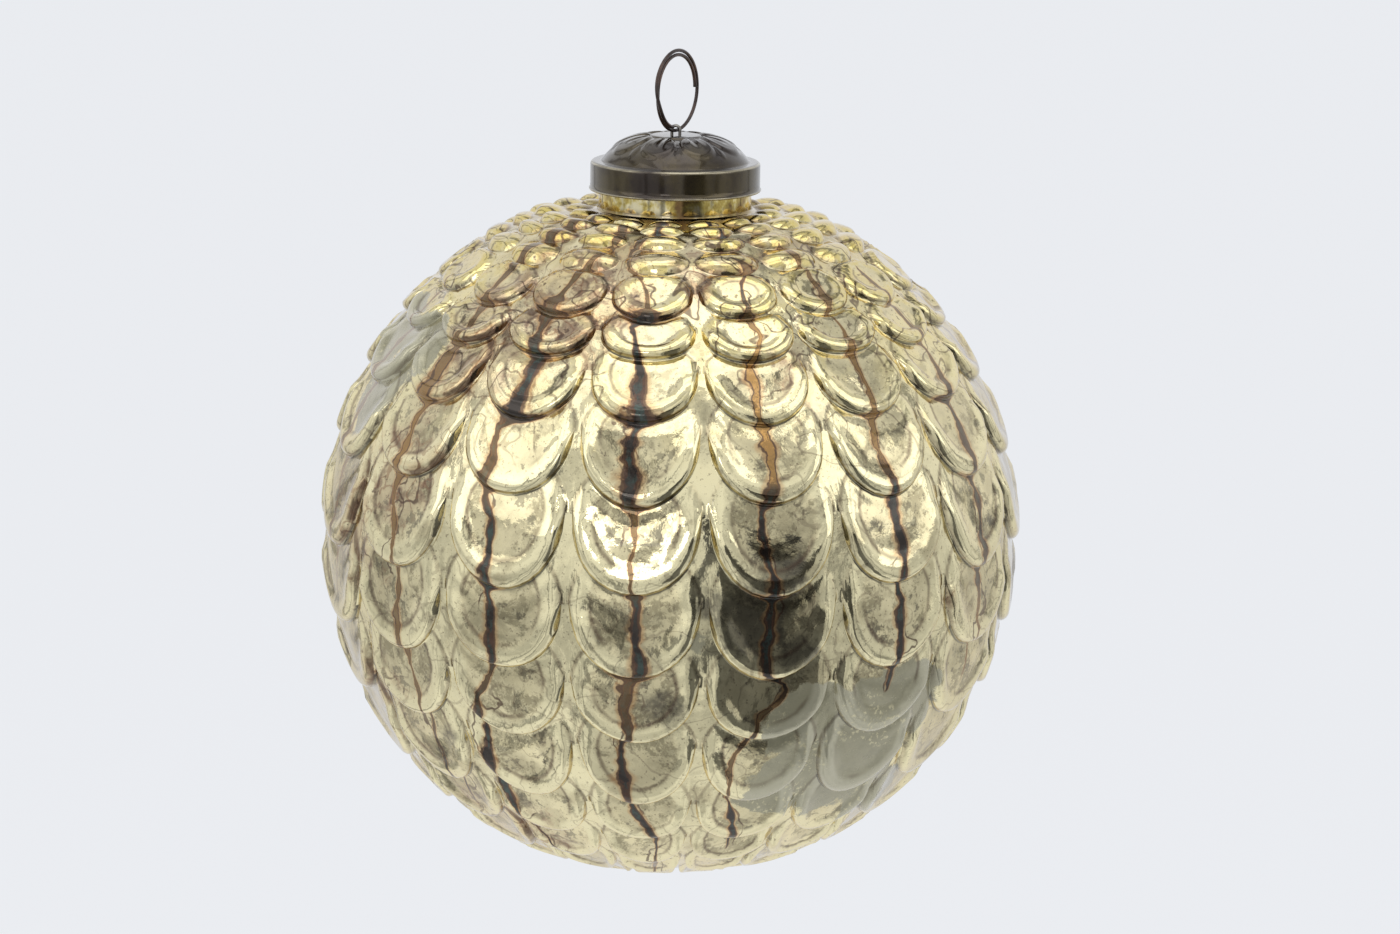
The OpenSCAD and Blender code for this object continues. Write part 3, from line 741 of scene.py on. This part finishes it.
capShape = {
    "sheet": 0.0005, "clear": 0.0019, "skirt": 0.0082, "ledge": 0.003, "dome": 0.0074, "plateau": 0.0073,
    "plateauStep": 0.0005, "edgeRound": 0.001, "lip": 0.00035, "petals": 8, "emboss": 0.0008,
    "rosetteTurn": 11.0, "around": 320, "middle": 0.002, "domeCut": 0.87,
}
capRadius = bauble["neckRadius"] + capShape["clear"] + capShape["sheet"]
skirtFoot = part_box("cap")[0].z
ledgeHeight = skirtFoot + capShape["skirt"]
plateauHeight = ledgeHeight + capShape["dome"]
domeRadius = capRadius - capShape["ledge"]
domeWidth = domeRadius - capShape["plateau"]


def rosetteAt(radius, turn):
    # almond petals round the dome with a groove down each, a fine ridge along their outline,
    # and a narrow dart between each two
    t = (radius - capShape["plateau"]) / domeWidth
    petalShare = turn * capShape["petals"] / 360
    p = 2 * np.abs(petalShare - np.round(petalShare))
    g = np.hypot((t - 0.42) / 0.42, p / 0.9)
    d = np.hypot((t - 0.66) / 0.2, (1 - p) / 0.16)
    groove = ease(1 - p / 0.3) * ease((0.7 - t) / 0.3)
    petal = np.sqrt(np.maximum(0, 1 - g * g)) * (1 - 0.5 * groove)
    return petal * 0.9 + 0.25 * np.exp(-((g - 0.84) / 0.14) ** 2) + 0.3 * np.sqrt(np.maximum(0, 1 - d * d))


def domeFall(t):
    # quarter of an ellipse, cut short of its steepest part and stretched to run from 0 to 1
    cut = capShape["domeCut"]
    return (1 - np.sqrt(1 - (t * cut) ** 2)) / (1 - math.sqrt(1 - cut ** 2))


# The cap's section, from the middle of its top down the skirt, round the lip and back under the dome
plateauLine = [
    [capShape["middle"], plateauHeight], [capShape["plateau"] - 0.0009, plateauHeight],
    [capShape["plateau"] - 0.0005, plateauHeight - 0.00004],
    [capShape["plateau"] - 0.0001, plateauHeight - 0.00022]]
domeShare = np.linspace(0, 1, 46)
domeDrop = capShape["plateauStep"] + (capShape["dome"] - capShape["plateauStep"]) * domeFall(domeShare)
domeLine = np.stack([capShape["plateau"] + domeShare * domeWidth, plateauHeight - domeDrop], -1)
ledgeLine = [[domeRadius + 0.0003, ledgeHeight], [domeRadius + 0.0014, ledgeHeight]]
edgeBend = np.radians(np.linspace(0, 90, 7))
edgeLine = np.stack([capRadius - capShape["edgeRound"] * (1 - np.sin(edgeBend)),
                     ledgeHeight - capShape["edgeRound"] * (1 - np.cos(edgeBend))], -1)
skirtLine = [[capRadius, ledgeHeight - 0.003], [capRadius, skirtFoot + 0.0022]]
lipBend = np.radians(np.linspace(90, -90, 9))
lipLine = np.stack([capRadius + capShape["lip"] * np.cos(lipBend),
                    skirtFoot + capShape["lip"] * (1 + np.sin(lipBend))], -1)
underLine = [
    [capRadius - capShape["sheet"], skirtFoot],
    [capRadius - capShape["sheet"], ledgeHeight - capShape["edgeRound"]],
    [capRadius - capShape["edgeRound"], ledgeHeight - capShape["sheet"]]]
underDome = (domeLine - np.stack([domeShare, np.ones(len(domeShare))], -1) * capShape["sheet"])[::-5]
capLine = np.concatenate([
    plateauLine, domeLine, ledgeLine, edgeLine, skirtLine, lipLine, underLine, underDome,
    [[capShape["middle"], plateauHeight - capShape["sheet"]]]])
capRadii, capTurns = np.meshgrid(
    capLine[:, 0], np.linspace(0, 360, capShape["around"], endpoint=False), indexing="ij")
embossed = (capRadii > capShape["plateau"] + 1e-6) & (capRadii < domeRadius - 1e-6)
rosette = rosetteAt(capRadii, capTurns)
capAngles = np.radians(capTurns + capShape["rosetteTurn"])
capGrid = np.stack([
    capRadii * np.cos(capAngles), capRadii * np.sin(capAngles),
    capLine[:, 1:] + capShape["emboss"] * rosette * embossed], -1).reshape(-1, 3)
capPoints = np.concatenate([capGrid, [[0, 0, plateauHeight], [0, 0, plateauHeight - capShape["sheet"]]]])
capFaces = [
    ringGrid(len(capLine), capShape["around"]), fan(0, len(capPoints) - 2, capShape["around"], False),
    fan((len(capLine) - 1) * capShape["around"], len(capPoints) - 1, capShape["around"], True)]

# Rubbed places, also painted as highlights: the skirt's rounded top, the lip, and the crests of the petals
rubbedAndGlintLine = np.zeros(len(capLine))
edgeFirst = len(plateauLine) + len(domeLine) + len(ledgeLine)
lipFirst = edgeFirst + len(edgeLine) + len(skirtLine)
rubbedAndGlintLine[edgeFirst:edgeFirst + len(edgeLine)] = np.sin(2 * edgeBend) ** 2
rubbedAndGlintLine[lipFirst:lipFirst + len(lipLine)] = np.cos(lipBend) * 0.9
rubbedAndGlint = rubbedAndGlintLine[:, None] + 0.5 * ease((rosette - 0.6) / 0.5) * embossed

bronzeFinish = {
    "lacquer": tone(48, 37, 27), "thin": tone(82, 71, 42), "dustAndSheen": tone(80, 72, 68),
    "wornAndGlint": tone(196, 186, 158), "speck": tone(30, 26, 22), "coatRoughness": 0.05,
}


def makeBronzeLacquer():
    finish = bronzeFinish
    material, tree = newMaterial("bronzeLacquer")
    spot = put(tree, "ShaderNodeTexCoord").outputs["Object"]
    aged, soft = ageAt(spot, 160.0, 1700.0, 120.0, 0.01), ageAt(spot, 45.0, 700.0, 60.0, 0.006)
    normal = put(tree, "ShaderNodeNewGeometry").outputs["Normal"]
    facingUp = put(tree, "ShaderNodeSeparateXYZ", {0: normal}).outputs[2]
    edge = put(tree, "ShaderNodeAttribute", attribute_name="edge").outputs["Fac"]
    edgeWearAndGlint = times(fade(edge, 0.25, 0.9), fade(soft["Cloud"], 0.36, 0.56))
    colour = layered(finish["lacquer"], finish, [
        # up-facing parts are lighter: partly dust, partly a painted sheen of the light from above
        (fade(soft["Cloud"], 0.4, 0.62), 1.0, "thin"), (fade(facingUp, 0.4, 0.95), 0.3, "dustAndSheen"),
        # the worn colour on rubbed places is partly wear and partly a painted highlight
        (edgeWearAndGlint, 0.75, "wornAndGlint"), (aged["Speck"], 0.35, "speck")])
    dress(tree, {
        "Base Color": colour, "Metallic": 0.75, "Roughness": plus(0.09, times(aged["Cloud"], 0.14)),
        "IOR": 1.5, "Coat Weight": 0.7, "Coat Roughness": finish["coatRoughness"], "Coat IOR": 1.45},
        0.25, 0.0002, aged["Cloud"])
    return material


makePiece("pressed_cap", capPoints, capFaces, "bauble", "cap", "cap_metal", makeBronzeLacquer(), None,
          {"edge": np.concatenate([rubbedAndGlint.ravel(), [0, 0]])})


# Wires

wires = {
    "ringWire": 0.001, "ringDiameter": 0.0236, "turnPitch": 0.00125,
    "stapleWire": 0.0009, "eyeGap": 0.00035, "eyeHeight": 0.00125, "legGap": 0.0002, "legReach": 0.003,
    "sides": 20, "bendStep": 3.5,
    "leave": 40, "settle": 28, "rest": 40, "hook": 20,  # the ring's last bends, in degrees
    "settleRadius": 0.8, "hookRadius": 0.4,  # shares of the ring's radius
    "splay": 60, "elbow": 0.002, "knee": 0.004, "footRadius": 0.0015, "footTurn": 150,
    "speck": tone(28, 22, 18),
}
ringRadius = (wires["ringDiameter"] - wires["ringWire"]) / 2
innerTurn = ringRadius - wires["turnPitch"]
eyeRadius = wires["ringWire"] / 2 + wires["eyeGap"] + wires["stapleWire"] / 2
hingeHeight = plateauHeight + wires["eyeHeight"]


def wirePath(steps, start):
    # each step is a bend (radius, degrees, roll) or a straight (0, length, roll), worked out in the frame
    # that the wire has reached; the tube's own sides keep still where the bending plane rolls
    here, rolled = np.array(start, float), 0.0
    middles, sidesA, sidesB = [], [], []
    for size, amount, rollBy in steps:
        c, s = math.cos(math.radians(rollBy)), math.sin(math.radians(rollBy))
        here = here @ [[c, -s, 0, 0], [s, c, 0, 0], [0, 0, 1, 0], [0, 0, 0, 1]]
        rolled += math.radians(rollBy)
        bending = size > 0
        count = max(3, int(math.ceil(amount / wires["bendStep"]))) if bending else 4
        t = np.linspace(0, math.radians(amount) if bending else amount, count + 1)
        angle, length = (t, 0 * t) if bending else (0 * t, t)
        zero, one = 0 * t, 0 * t + 1
        middle = np.stack([size - size * np.cos(angle), zero, size * np.sin(angle) + length, one], -1)
        sideX, sideY = np.stack([np.cos(angle), zero, -np.sin(angle), zero], -1), np.array([0, 1, 0, 0])
        for line, local in ((middles, middle),
                            (sidesA, sideX * math.cos(rolled) - sideY * math.sin(rolled)),
                            (sidesB, sideX * math.sin(rolled) + sideY * math.cos(rolled))):
            line.append((local @ here.T)[1 if line else 0:])
        c, s = math.cos(angle[-1]), math.sin(angle[-1])
        here = here @ [[c, 0, s, middle[-1, 0]], [0, 1, 0, 0], [-s, 0, c, middle[-1, 2]], [0, 0, 0, 1]]
    return [np.concatenate(line)[:, :3] for line in (middles, sidesA, sidesB)]


def tubeAlong(middle, sideA, sideB, radius):
    # a circle carried along a line of points, with both cut ends rounded over a little
    sides = wires["sides"]
    t = np.linspace(0, 2 * math.pi, sides, endpoint=False)[None, :, None]
    circle = radius * (np.cos(t) * sideA[:, None] + np.sin(t) * sideB[:, None])
    inset = np.cross(sideA, sideB) * radius * 0.12
    rings = np.concatenate([
        [middle[0] + circle[0] * 0.86, middle[0] + inset[0] + circle[0]], (middle[:, None] + circle)[1:-1],
        [middle[-1] - inset[-1] + circle[-1], middle[-1] + circle[-1] * 0.86]])
    tubePoints = np.concatenate([rings.reshape(-1, 3), [middle[0], middle[-1]]])
    end = len(rings) * sides
    caps = [fan(0, end, sides, True), fan(end - sides, end + 1, sides, False)]
    return tubePoints, [ringGrid(len(rings), sides)[:, ::-1], *caps]


def makeWireFinish(name, dark, light, metallic, roughness):
    material, tree = newMaterial(name)
    spot = put(tree, "ShaderNodeTexCoord").outputs["Object"]
    aged = ageAt(spot, 260.0, 2400.0, 200.0, 0.02)
    colour = blend(patches(spot, 110.0, 0.42, 0.62), dark, light)
    colour = blend(times(aged["Speck"], 0.5), colour, wires["speck"])
    dress(tree, {
        "Base Color": colour, "Metallic": metallic, "Roughness": plus(roughness, times(aged["Cloud"], 0.18)),
        "Coat Weight": 0.3, "Coat Roughness": 0.2}, 0.2, 0.0001, aged["Cloud"])
    return material


def riseOf(degrees):
    # how far a bend strays sideways, as a share of its radius
    return 1 - math.cos(math.radians(degrees))


# The ring: an inner turn, a step to the outer turn, and an end that is bent aside beside the inner one
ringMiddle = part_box("hang_ring")[1].z - wires["ringWire"] / 2 - ringRadius
ringStart = [[-1, 0, 0, innerTurn], [0, -1, 0, 0], [0, 0, 1, ringMiddle], [0, 0, 0, 1]]
settleRadius, hookRadius = wires["settleRadius"] * ringRadius, wires["hookRadius"] * ringRadius
asideWay = ringRadius * riseOf(wires["leave"]) + settleRadius * riseOf(wires["settle"])
aside = math.degrees(math.asin(wires["turnPitch"] / asideWay))
ringSteps = [
    (innerTurn, 180, 0), (0, wires["turnPitch"], 0), (innerTurn, 90, 0), (ringRadius, 240, 0),
    (ringRadius, wires["leave"], aside), (settleRadius, wires["settle"], -2 * aside),
    (settleRadius, wires["rest"], aside), (hookRadius, wires["hook"], 0)]
makePiece("coiled_ring", *tubeAlong(*wirePath(ringSteps, ringStart), wires["ringWire"] / 2),
          "ring", "hang_ring", "ring_wire",
          makeWireFinish("brownWire", tone(64, 53, 49), tone(104, 82, 72), 0.7, 0.26))

# The staple: half an eye, a leg through the cap, splayed out to the neck's inside and hooked at its foot. The
# other half is its mirror image
splay, elbow, knee = math.radians(wires["splay"]), wires["elbow"], wires["knee"]
drop = wires["eyeHeight"] + capShape["sheet"] + 0.001
legRadius = bauble["neckRadius"] - bauble["wall"] - wires["legGap"] - wires["stapleWire"] / 2
slant = (legRadius - eyeRadius - (elbow + knee) * riseOf(wires["splay"])) / math.sin(splay)
bendsHeight = (elbow + knee) * math.sin(splay) + slant * math.cos(splay)
shin = max(0.001, hingeHeight - drop - bendsHeight - (creaseLevel - wires["legReach"]))
legSteps = [
    (eyeRadius, 90, 0), (0, drop, 0), (elbow, wires["splay"], 180), (0, slant, 0),
    (knee, wires["splay"], 180), (0, shin, 0), (wires["footRadius"], wires["footTurn"], 0)]
legStart = [[0, -1, 0, 0], [0, 0, 1, 0], [-1, 0, 0, hingeHeight + eyeRadius], [0, 0, 0, 1]]
legMiddle, legSideA, legSideB = wirePath(legSteps, legStart)
legAhead, mirrored = np.cross(legSideA, legSideB), np.array([1, -1, 1])
stapleMiddle = np.concatenate([(legMiddle * mirrored)[::-1], legMiddle[1:]])
stapleAhead = np.concatenate([-(legAhead * mirrored)[::-1], legAhead[1:]])
stapleSide = np.tile([1.0, 0, 0], (len(stapleMiddle), 1))
stapleOther = np.cross(stapleAhead, stapleSide)
makePiece("wire_eye", *tubeAlong(stapleMiddle, stapleSide, stapleOther, wires["stapleWire"] / 2),
          "bauble", "wire_staple", "staple_wire",
          makeWireFinish("springWire", tone(120, 116, 110), tone(176, 172, 164), 1.0, 0.2))
print("wires made")


# Studio

studio = {
    "pale": tone(237, 239, 243), "floorHeight": -0.62, "floorReach": 40.0, "ambient": 0.62, "floorGlow": 1.06,
    "floorShare": 0.85, "dark": (0, 0, 0, 1),
    "cameraAzimuth": -59.0, "cameraElevation": 11.5, "cameraDistance": 1.6, "lens": 144.0, "roll": 0.9,
    "aimRight": 0.0083, "aimUp": 0.0171,
    # Dark forms in the tent as the camera looks back from the ball: from, to and softness, across and up
    "openingRight": (0.2, 0.66, 0.04), "openingUp": (-0.82, 0.05, 0.04), "opening": 0.1,
    "seams": [(-0.66, -0.6, 0.025), (0.84, 0.88, 0.02)], "seam": 0.6,
    "poleRight": (-0.24, -0.2, 0.02), "poleUp": (0.1, 0.9, 0.05),
    "slotRight": (-0.15, 0.5, 0.03), "slotUp": (0.8, 0.9, 0.03),
    "standRight": (-0.36, -0.24, 0.03), "standUp": (-0.88, -0.2, 0.06),
    "cloth": 0.4, "clothScale": 2.2, "lowBand": 0.16,
    # Lamps: turn from the camera, elevation, distance, width, height and power
    "lamps": {
        "softboxLeft": (-62, 38, 1.5, 0.9, 1.3, 2.8), "softboxRight": (70, 30, 1.6, 0.9, 1.2, 2.4),
        "softboxTop": (10, 78, 1.4, 1.1, 1.1, 3.6), "softboxFront": (-13, 20, 1.5, 0.3, 0.4, 0.8)},
}
ballCentre = np.array([0, 0, centreHeight])


def wayTo(azimuth, elevation):
    # from the ball towards a place round it, where azimuth 0 is the front
    return direction(azimuth - 90, elevation)


back = wayTo(studio["cameraAzimuth"], studio["cameraElevation"])
right = direction(studio["cameraAzimuth"], 0.0)
up = np.cross(back, right)


def makeTentShade():
    # The tent is pale all round, with folds and seams, and darker where the camera looks in and in a band
    # under the horizon. The shade depends on the direction from the ball. World and floor share it
    group, given, made = newGroup("tentShade", {"Direction": None}, ["Shade"])
    way = given["Direction"]

    def lean(axis):
        # how far the direction leans along an axis of the camera
        pair = {0: way, 1: tuple(axis)}
        return put(group, "ShaderNodeVectorMath", pair, operation="DOT_PRODUCT").outputs["Value"]

    def within(value, low, high, soft):
        return times(fade(value, low - soft, low + soft), fade(value, high + soft, high - soft))

    def panel(name):
        return times(within(leanRight, *studio[name + "Right"]), within(leanUp, *studio[name + "Up"]))

    ripple = times(minus(noise(way, 5.0), 0.5), 0.16)
    leanRight, leanUp, leanBack = plus(lean(right), ripple), plus(lean(up), ripple), lean(back)
    nearCamera = fade(leanBack, 0.0, 0.2)
    climb = put(group, "ShaderNodeSeparateXYZ", {0: way}).outputs[2]
    seams = [within(leanRight, *seam) for seam in studio["seams"]]
    seams = most(*seams, panel("pole"), panel("slot"), times(panel("stand"), nearCamera))
    folds = patches(way, studio["clothScale"], 0.6, 0.32, 2.0, 0.5, 0.6)
    darker = [
        times(panel("opening"), nearCamera, 1 - studio["opening"]), times(seams, studio["seam"]),
        times(folds, studio["cloth"], fade(leanBack, -0.6, 0.1)),
        times(fade(climb, 0.15, -0.15), fade(climb, -0.85, -0.4), studio["lowBand"])]
    send(times(*[minus(1.0, share) for share in darker]), made["Shade"])
    return group


tentShade = makeTentShade()


def seenRays(tree):
    # rays that show the tent itself, and those of them that come from the camera
    rays = put(tree, "ShaderNodeLightPath").outputs
    seen = most(rays["Is Camera Ray"], rays["Is Glossy Ray"], rays["Is Transmission Ray"])
    return seen, rays["Is Camera Ray"]


def makeTent():
    # the world is the tent: the camera sees it plain, reflections see its forms, and diffuse light is dimmed
    world = bpy.data.worlds.new("tent")
    world.use_nodes = True
    tree = world.node_tree
    tree.nodes.clear()
    seen, cameraRay = seenRays(tree)
    way = put(tree, "ShaderNodeTexCoord").outputs["Generated"]
    shade = most(useGroup(tree, tentShade, {"Direction": way})["Shade"], cameraRay)
    tent = put(tree, "ShaderNodeBackground", {
        "Color": blend(shade, studio["dark"], studio["pale"]),
        "Strength": plus(studio["ambient"], times(seen, 1 - studio["ambient"]))})
    put(tree, "ShaderNodeOutputWorld", {"Surface": tent.outputs[0]})
    bpy.context.scene.world = world


def makeFloor():
    # a wide floor: plain for diffuse light, and mostly a glow like the tent's for the rays that see it
    material, tree = newMaterial("paleFloor")
    seen, cameraRay = seenRays(tree)
    way = put(tree, "ShaderNodeTexCoord").outputs["Object"]
    ballAbove = (0, 0, centreHeight - studio["floorHeight"])
    for operation, other in (("SUBTRACT", ballAbove), ("NORMALIZE", (0, 0, 0))):
        way = put(tree, "ShaderNodeVectorMath", {0: way, 1: other}, operation=operation).outputs[0]
    shade = most(useGroup(tree, tentShade, {"Direction": way})["Shade"], cameraRay)
    plain = put(tree, "ShaderNodeBsdfDiffuse", {"Color": studio["pale"]})
    glow = put(tree, "ShaderNodeEmission", {
        "Color": studio["pale"], "Strength": times(shade, studio["floorGlow"])})
    mixed = put(tree, "ShaderNodeMixShader", {
        0: times(seen, studio["floorShare"]), 1: plain.outputs[0], 2: glow.outputs[0]})
    put(tree, "ShaderNodeOutputMaterial", {"Surface": mixed.outputs[0]})
    mesh = bpy.data.meshes.new("floor")
    corners = np.array([(-1, -1, 0), (1, -1, 0), (1, 1, 0), (-1, 1, 0)]) * studio["floorReach"]
    mesh.from_pydata(corners.tolist(), [], [(0, 1, 2, 3)])
    floor = bpy.data.objects.new("floor", mesh)
    floor.location.z = studio["floorHeight"]
    mesh.materials.append(material)
    bpy.context.scene.collection.objects.link(floor)


def addLamp(name, turn, elevation, distance, width, height, power):
    # a softbox that faces the ball's middle
    way = wayTo(studio["cameraAzimuth"] + turn, elevation)
    lamp = bpy.data.lights.new(name, "AREA")
    lamp.shape, lamp.size, lamp.size_y, lamp.energy = "RECTANGLE", width, height, power
    made = bpy.data.objects.new(name, lamp)
    made.location = way * distance + ballCentre
    made.rotation_mode = "QUATERNION"
    made.rotation_quaternion = Vector(way).to_track_quat("Z", "Y")
    bpy.context.scene.collection.objects.link(made)


def placeCamera():
    # the camera looks at a place beside the ball's middle and is rolled a little
    lens = bpy.data.cameras.new("camera")
    lens.lens, lens.sensor_width, lens.clip_start, lens.clip_end = studio["lens"], 36.0, 0.05, 100.0
    camera = bpy.data.objects.new("camera", lens)
    stand = ballCentre + back * studio["cameraDistance"]
    look = stand - (ballCentre + right * studio["aimRight"] + up * studio["aimUp"])
    look = look / np.linalg.norm(look)
    side = np.cross([0, 0, 1.0], look)
    side = side / np.linalg.norm(side)
    top = np.cross(look, side)
    tilt = math.radians(studio["roll"])
    pose = np.eye(4)
    pose[:3, 0] = side * math.cos(tilt) + top * math.sin(tilt)
    pose[:3, 1] = top * math.cos(tilt) - side * math.sin(tilt)
    pose[:3, 2], pose[:3, 3] = look, stand
    camera.matrix_world = Matrix(pose.tolist())
    bpy.context.scene.collection.objects.link(camera)
    bpy.context.scene.camera = camera


makeTent()
makeFloor()
for lampName, lampSettings in studio["lamps"].items():
    addLamp(lampName, *lampSettings)
placeCamera()
bpy.context.scene.view_settings.view_transform = "Standard"
print("studio made")
